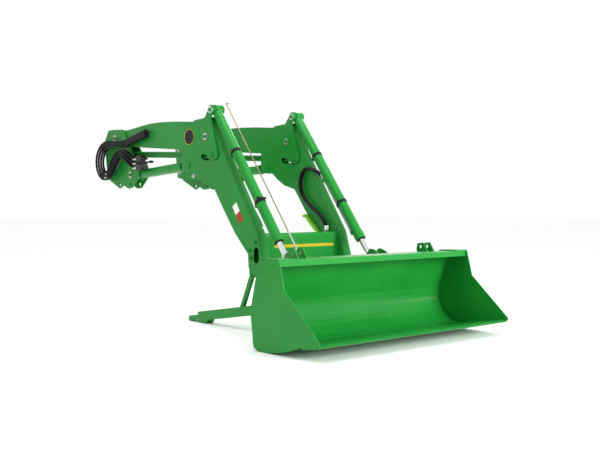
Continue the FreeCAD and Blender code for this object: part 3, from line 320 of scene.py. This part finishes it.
def smooth_line(points, order=4, resolution=10):
    """Places along a smooth NURBS line that has the route's points as its control points."""
    data = bpy.data.curves.new("route", "CURVE")
    data.dimensions = "3D"
    data.resolution_u = resolution
    spline = data.splines.new("NURBS")
    spline.points.add(len(points) - 1)
    for point, place in zip(spline.points, points):
        point.co = (*place, 1)
    spline.order_u = order
    spline.use_endpoint_u = True
    holder = link(bpy.data.objects.new("route", data))
    bpy.context.view_layer.update()
    mesh = bpy.data.meshes.new_from_object(holder.evaluated_get(bpy.context.evaluated_depsgraph_get()))
    line = [vertex.co.copy() for vertex in mesh.vertices]
    bpy.data.objects.remove(holder)
    return line


def line_rings(line, radius, sides=16):
    """Rings of a round tube along a line, without twist."""
    way = (line[1] - line[0]).normalized()
    across = way.orthogonal().normalized()
    rings = []
    for i, at in enumerate(line):
        before, after = line[max(i - 1, 0)], line[min(i + 1, len(line) - 1)]
        way = (after - before).normalized()
        across = (across - way * across.dot(way)).normalized()
        up = way.cross(across)
        ring = []
        for k in range(sides):
            turn = 2 * math.pi * k / sides
            ring.append(at + across * (radius * math.cos(turn)) + up * (radius * math.sin(turn)))
        rings.append(ring)
    return rings


def add_rings(made, rings):
    loops = [[made.verts.new(point) for point in ring] for ring in rings]
    sides = len(loops[0])
    for low, high in zip(loops, loops[1:]):
        for k in range(sides):
            after = (k + 1) % sides
            made.faces.new((low[k], low[after], high[after], high[k]))
    made.faces.new(list(reversed(loops[0])))
    made.faces.new(loops[-1])


def tube_mesh(name, rings):
    made = bmesh.new()
    add_rings(made, rings)
    return from_bmesh(name, made)


def bead_mesh(name, runs, radius=0.005, step=0.006, sides=8):
    """Weld beads: low rippled ridges along straight runs."""
    turns = [2 * math.pi * k / sides for k in range(sides)]
    made = bmesh.new()
    for start, end in runs:
        start, end = Vector(start), Vector(end)
        way = end - start
        count = max(2, int(way.length / step))
        matrix = looking(way.normalized())
        rings = []
        for i in range(count + 1):
            at = start + way * i / count
            size = radius * (1 + 0.16 * (i % 2) + 0.25 * noise.noise(at * 30))
            if i in (0, count):
                size *= 0.4
            rings.append([at + matrix.to_3x3() @ Vector((size * math.cos(turn), size * math.sin(turn), 0))
                          for turn in turns])
        add_rings(made, rings)
    return from_bmesh(name, made)


# Stations of the CAD frame that the pieces are set against

ARM_X = 0.481
ARM_OUT = 0.526
ARM_IN = 0.436
STRAP_END = 0.542
STRAP_IN = 0.420
TOWER = Vector((0, 1.450, 1.976))
TILT = Vector((0, 0.356, 0.558))
CRANK = Vector((0, 1.532, 1.736))
MAST = Vector((0, 3.250, 1.820))
MAST_LINK = Vector((0, 3.161, 1.646))
BARREL = Vector((0, 2.920, 1.420))
BUCKET = Vector((0, 0.438, 0.318))
HEAD = 0.0103
COLUMN_FACE = 0.3315
BADGE = (1.834, 1.751)
BADGE_HALF = (0.084, 0.075)
BADGE_SIDES = 64

# Hoses

HOSE = 0.011
COUPLER = Vector((-0.598, 2.620, 1.458))
sleeve_start = Vector((-0.560, 2.575, 1.832))
sleeve_end = Vector((-0.576, 2.932, 1.756))
sleeve_way = (sleeve_end - sleeve_start).normalized()
sleeve_up = Vector((1, 0, 0)).cross(sleeve_way).normalized()


def mast_route(number):
    column, row = number % 2, number // 2
    first = sleeve_end + sleeve_way.cross(sleeve_up) * (0.012 - 0.024 * column) + sleeve_up * (0.024 * row - 0.024)
    x = -0.590 - 0.027 * column
    last_x = COUPLER.x + 0.036 - 0.024 * column
    last_z = COUPLER.z + 0.028 + 0.044 * (2 - row)
    return [first - sleeve_way * 0.02, first + sleeve_way * 0.110, (x, 3.200, 1.742 + 0.026 * row),
            (x, 3.360 + 0.030 * row, 1.715 + 0.033 * row), (x, 3.440 + 0.055 * row, 1.615 + 0.020 * row),
            (x, 3.440 + 0.055 * row, 1.520 - 0.012 * row), (x, 3.372 + 0.030 * row, 1.440 - 0.034 * row),
            (x, 3.292 - 0.008 * row, 1.455 - 0.036 * row), (x, 3.235 - 0.030 * row, 1.540 - 0.022 * row),
            (x, 3.150 - 0.032 * row, 1.645 - 0.024 * row), (x, 3.010 - 0.006 * row, 1.698 - 0.030 * row),
            (x, 2.890 + 0.012 * row, 1.650 - 0.038 * row), (last_x, 2.800 + 0.010 * row, last_z),
            (last_x, 2.720, last_z)]


def hose_end(made, at, way, nut=0.026, long=0.045):
    """Crimped ferrule and swivel nut where a hose meets its fitting; way points out of the hose."""
    turned(made, [(0.0122, -long), (0.0136, -long + 0.003), (0.0126, -long * 0.75), (0.0136, -long * 0.68),
                  (0.0126, -long * 0.48), (0.0136, -long * 0.4), (0.0136, -0.008), (0.0110, -0.006)], at, way, 20)
    corner = nut / 2 / math.cos(math.pi / 6)
    turned(made, [(corner * 0.9, -0.006), (corner, -0.003), (corner, 0.013), (corner * 0.9, 0.016)], at, way, 6)


mast_ends = bmesh.new()
for number in range(6):
    line = smooth_line(mast_route(number))
    rings = line_rings(line, HOSE)
    lowest = min(range(len(line)), key=lambda i: line[i].z)
    crossing = piece(f"hose_arch_{number}", tube_mesh(f"hose_arch_{number}", rings[:lowest + 1]), rubber, None)
    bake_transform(crossing)
    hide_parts(f"mast_hose_{number}")
    piece(f"hose_return_{number}", tube_mesh(f"hose_return_{number}", rings[lowest:]), rubber, "mast_right")
    hose_end(mast_ends, line[-1] + Vector((0, 0.016, 0)), (0, -1, 0), 0.0235, 0.060)
smooth_by_angle(piece("hose_mast_ends", from_bmesh("hose_mast_ends", mast_ends), zinc, "mast_right"))


def tilt_point(along, across, off, side=1):
    way = (TILT - TOWER).normalized()
    lift_off = Vector((1, 0, 0)).cross(way)
    at = TOWER + way * along + lift_off * off
    return Vector((side * ARM_X - across, at.y, at.z)), way


def tilt_hose(number):
    end, way = tilt_point(0.735, 0.024 * number - 0.012, 0.059)
    before = end - way * (0.060 - 0.008 * number)
    x = ARM_IN - 0.017 - 0.026 * number
    return [(x, 0.925, 0.855), (x, 0.925, 0.915), (x, 0.985, 0.995), (x - 0.004, 1.120, 1.075),
            (x - 0.006, 1.262, 1.180), (x - 0.004, 1.312, 1.300), (x, 1.280, 1.420),
            (x, 1.196, 1.500 - 0.012 * number), before, end]


def feed_hose(number):
    x = -ARM_IN + 0.013 + 0.024 * number
    return [(x, 1.430, 1.440), (x, 1.340, 1.440), (x, 1.235, 1.370), (x, 1.080, 1.170), (x, 0.930, 0.990),
            (x, 0.868, 0.920), (x, 0.868, 0.855)]


tube_ends = bmesh.new()
barrel_ends = bmesh.new()
arm_ends = bmesh.new()
for number in range(2):
    line = smooth_line(tilt_hose(number))
    rings = line_rings(line, HOSE)
    middle = min(range(len(line)), key=lambda i: abs(line[i].z - 1.33))
    lower = piece(f"hose_tilt_low_{number}", tube_mesh(f"hose_tilt_low_{number}", rings[:middle + 1]), rubber, None)
    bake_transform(lower)
    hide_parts(f"tilt_hose_{number}")
    upper = piece(f"hose_tilt_high_{number}", tube_mesh(f"hose_tilt_high_{number}", rings[middle:]), rubber, None)
    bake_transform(upper)
    hose_end(tube_ends, (line[0].x, 0.925, 0.868), (0, 0, -1), 0.024)
    hose_end(barrel_ends, line[-1], (TILT - TOWER).normalized(), 0.024)
    line = smooth_line(feed_hose(number))
    feed = piece(f"hose_feed_{number}", tube_mesh(f"hose_feed_{number}", line_rings(line, HOSE)), rubber, "boom")
    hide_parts(f"feed_hose_{number}")
    hose_end(tube_ends, (line[-1].x, 0.868, 0.868), (0, 0, -1), 0.024)
    hose_end(arm_ends, (line[0].x, 1.416, 1.440), (0, 1, 0), 0.024)
smooth_by_angle(piece("hose_tube_ends", from_bmesh("hose_tube_ends", tube_ends), zinc, "boom"))
smooth_by_angle(piece("hose_arm_ends", from_bmesh("hose_arm_ends", arm_ends), zinc, "boom"))
smooth_by_angle(piece("hose_barrel_ends", from_bmesh("hose_barrel_ends", barrel_ends), zinc, "tilt_barrel_left"))

# Bolts on the pins, flanges and columns

PINS = (("crank", CRANK, "boom"), ("tower", TOWER, "bellcrank_{side}"), ("mast", MAST, "mast_{side}"),
        ("link", MAST_LINK, "mast_{side}"), ("barrel", BARREL, "mast_{side}"), ("bucket", BUCKET, "bucket_pins"))
for side, sign in (("right", -1), ("left", 1)):
    for label, at, body in PINS:
        face = STRAP_END + HEAD
        for end, facing in ((sign * face, sign), (sign * (STRAP_IN - HEAD), -sign)):
            bolts(f"pin_bolt_{label}_{side}_{'out' if facing == sign else 'in'}", body.format(side=side),
                  [(Vector((end, at.y, at.z)), (facing, 0, 0))], 0.022, green)
    flange = [((sign * ARM_OUT, y, z), (sign, 0, 0)) for y, z in ((0.872, 0.648), (0.888, 0.712), (0.806, 0.784))]
    bolts(f"flange_bolts_{side}", "boom", flange, 0.024, green)
    column = [((sign * COLUMN_FACE, y, z), (-sign, 0, 0))
              for y, z in ((3.31, 1.83), (3.37, 1.74), (3.35, 1.48), (3.06, 1.43))]
    bolts(f"column_bolts_{side}", f"mast_{side}", column, 0.030)

# Black clamp bands and fittings on the cylinders


def along_tilt(side, along, across=0.0, off=0.0):
    return tilt_point(along, across, off, side)[0]


def box_piece(made, centre, ways, sizes, round_by=0.002):
    """Adds a block with bevelled edges: ways are its three directions, sizes its lengths along them."""
    block = bmesh.new()
    bmesh.ops.create_cube(block, size=1.0)
    for vertex in block.verts:
        vertex.co = Vector((vertex.co.x * sizes[0], vertex.co.y * sizes[1], vertex.co.z * sizes[2]))
    bmesh.ops.bevel(block, geom=list(block.edges), offset=round_by, segments=2, affect="EDGES", profile=0.5)
    matrix = Matrix([list(way) for way in ways]).transposed()
    remap = {}
    for vertex in block.verts:
        remap[vertex] = made.verts.new(Vector(centre) + matrix @ vertex.co)
    for face in block.faces:
        made.faces.new([remap[vertex] for vertex in face.verts])
    block.free()


tilt_way = (TILT - TOWER).normalized()
tilt_off = Vector((1, 0, 0)).cross(tilt_way)
for side, sign in (("right", -1), ("left", 1)):
    made = bmesh.new()
    for start in (0.4885, 1.0585):
        turned(made, [(0.0488, 0), (0.0502, 0.002), (0.0502, 0.027), (0.0488, 0.029)],
               along_tilt(sign, start), tilt_way, 48)
        box_piece(made, along_tilt(sign, start + 0.0145, 0.0, 0.054), ((1, 0, 0), tilt_way, tilt_off),
                  (0.040, 0.026, 0.018))
    if side == "right":
        box_piece(made, along_tilt(sign, 1.085, 0.036, -0.078), ((1, 0, 0), tilt_way, tilt_off),
                  (0.082, 0.0195, 0.0135))
        turned(made, [(0.0125, 0), (0.0135, 0.002), (0.0135, 0.020), (0.0125, 0.022)],
               along_tilt(sign, 1.074, 0.075, -0.078), tilt_way, 24)
    smooth_by_angle(piece(f"clamp_bands_{side}", from_bmesh(f"clamp_bands_{side}", made), plastic,
                          f"tilt_barrel_{side}"))
    made = bmesh.new()
    turned(made, [(0.0262, 0), (0.036, 0), (0.038, 0.003), (0.030, 0.009), (0.0262, 0.009)],
           along_tilt(sign, 1.4922), tilt_way, 40)
    smooth_by_angle(piece(f"wiper_{side}", from_bmesh(f"wiper_{side}", made), plastic, f"tilt_barrel_{side}"))

# Plain decals, without words

leg_way = Vector((0, -0.118, -0.166)).normalized()
leg_up = Vector((1, 0, 0)).cross(leg_way)
for name, shift, look in (("sticker_white", -0.046, white_film), ("sticker_red", 0.046, red_film)):
    made = bmesh.new()
    box_piece(made, Vector((-ARM_OUT - 0.0004, 1.060, 1.035)) + leg_way * shift,
              ((1, 0, 0), leg_way, leg_up), (0.0008, 0.090, 0.068), 0.0003)
    piece(name, from_bmesh(name, made), look, "boom", flat=True)
made = bmesh.new()
box_piece(made, Vector((0.030, 0.7996, 0.742)), ((1, 0, 0), (0, 1, 0), (0, 0, 1)), (0.70, 0.0008, 0.026), 0.0003)
piece("tube_stripe", from_bmesh("tube_stripe", made), yellow, "boom", flat=True)
for side, sign in (("right", -1), ("left", 1)):
    made = bmesh.new()
    turns = [2 * math.pi * k / BADGE_SIDES for k in range(BADGE_SIDES)]
    rings = []
    for scale, height in ((1.0, 0.0016), (1.0, 0.0030), (0.93, 0.0030), (0.93, 0.0022)):
        rings.append([Vector((sign * (ARM_OUT + height), BADGE[0] + BADGE_HALF[0] * scale * math.cos(turn),
                              BADGE[1] + BADGE_HALF[1] * scale * math.sin(turn))) for turn in turns])
    loops = [[made.verts.new(point) for point in ring] for ring in rings]
    for low, high in zip(loops, loops[1:]):
        for k in range(BADGE_SIDES):
            after = (k + 1) % BADGE_SIDES
            made.faces.new((low[k], low[after], high[after], high[k]))
    bmesh.ops.recalc_face_normals(made, faces=made.faces)
    piece(f"badge_rim_{side}", from_bmesh(f"badge_rim_{side}", made), yellow, "boom", flat=True)

# Weld beads

runs = []
for sign in (-1, 1):
    x = sign * ARM_IN
    runs += [((x, 0.799, 0.625), (x, 0.799, 0.842)), ((x, 0.951, 0.625), (x, 0.951, 0.842)),
             ((x, 0.815, 0.856), (x, 0.935, 0.856)), ((x, 0.815, 0.611), (x, 0.935, 0.611))]
piece("tube_welds", bead_mesh("tube_welds", runs, 0.005), green, "boom")
runs = []
for sign in (-1, 1):
    for station in (0.690, 0.776):
        for x in (sign * station, sign * (station + 0.014)):
            runs.append(((x, -0.070, 0.6975), (x, -0.008, 0.6975)))
    runs.append(((sign * 1.071, -0.600, 0.1180), (sign * 1.071, -0.200, 0.0590)))
    runs.append(((sign * 1.071, 0.018, 0.640), (sign * 1.071, 0.112, 0.380)))
piece("bucket_welds", bead_mesh("bucket_welds", runs, 0.0045), green, "bucket")

# Floor

floor_mesh = bpy.data.meshes.new("floor")
floor_mesh.from_pydata([(-60, -60, 0), (60, -60, 0), (60, 60, 0), (-60, 60, 0)], [], [(0, 1, 2, 3)])
floor = link(bpy.data.objects.new("floor", floor_mesh))
floor_look, *_ = shader("floor_paint", (0.97, 0.97, 0.97), roughness=0.6, specular=0.0)
floor_mesh.materials.append(floor_look)
floor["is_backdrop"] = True

low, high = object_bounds()
